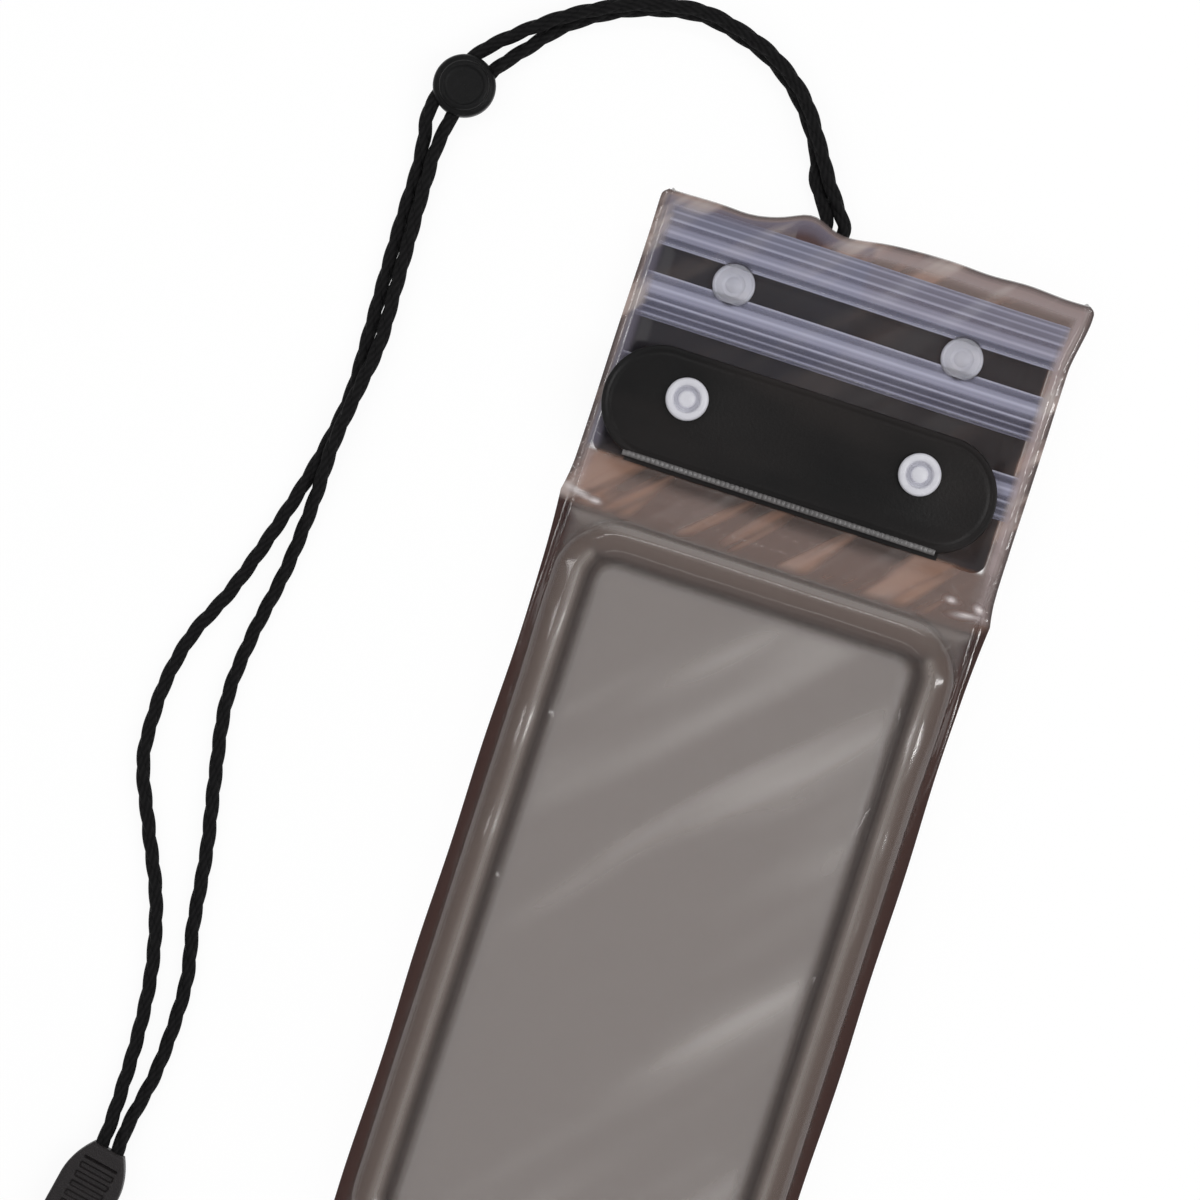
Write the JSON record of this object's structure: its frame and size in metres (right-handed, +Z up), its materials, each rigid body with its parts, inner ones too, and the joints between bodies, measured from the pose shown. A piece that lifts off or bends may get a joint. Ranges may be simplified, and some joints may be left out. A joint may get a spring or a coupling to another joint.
{
  "type": "waterproof phone pouch",
  "caption": "Clear waterproof pouch with an air cushion round its window, a roll-over mouth with press-to-close zips and a snap flap, and a neck lanyard with a slider and an end clip.",
  "frame": {"origin": "on the surface it lies on, under the middle of the pouch, lanyard left out", "axes": "+X across the pouch to its right seen from the front, +Y along it to its mouth, +Z up out of its front"},
  "size_m": [0.165, 0.2931, 0.0144],
  "materials": {
    "clear_film": "clear flexible film with a smoky tint",
    "zip_plastic": "translucent pale extrusion",
    "black_sheet": "black flexible sheet",
    "white_snap": "white moulded plastic",
    "milky_snap": "milky moulded plastic",
    "black_cord": "black braided cord",
    "black_plastic": "black moulded plastic",
    "clip_plastic": "dark grey moulded plastic"
  },
  "bodies": {
    "root": {"front_film": "clear_film", "cushion_liner": "clear_film", "back_film": "clear_film", "zip_1_ribs": "zip_plastic", "zip_1_grooves": "zip_plastic", "zip_2_ribs": "zip_plastic", "zip_2_grooves": "zip_plastic", "zip_3_ribs": "zip_plastic", "zip_3_grooves": "zip_plastic", "back_strip": "black_sheet", "snap_flap": "black_sheet", "strip_cap_left": "milky_snap", "strip_stud_left": "milky_snap", "flap_cap_left": "white_snap", "flap_socket_left": "white_snap", "strip_cap_right": "milky_snap", "strip_stud_right": "milky_snap", "flap_cap_right": "white_snap", "flap_socket_right": "white_snap", "lanyard_anchor": "black_plastic", "outer_cord_upper": "black_cord", "inner_cord_upper": "black_cord", "outer_cord_lower": "black_cord", "inner_cord_lower": "black_cord", "cord_slider": "black_plastic", "end_clip_front": "clip_plastic", "end_clip_back": "clip_plastic"}
  },
  "joints": []
}
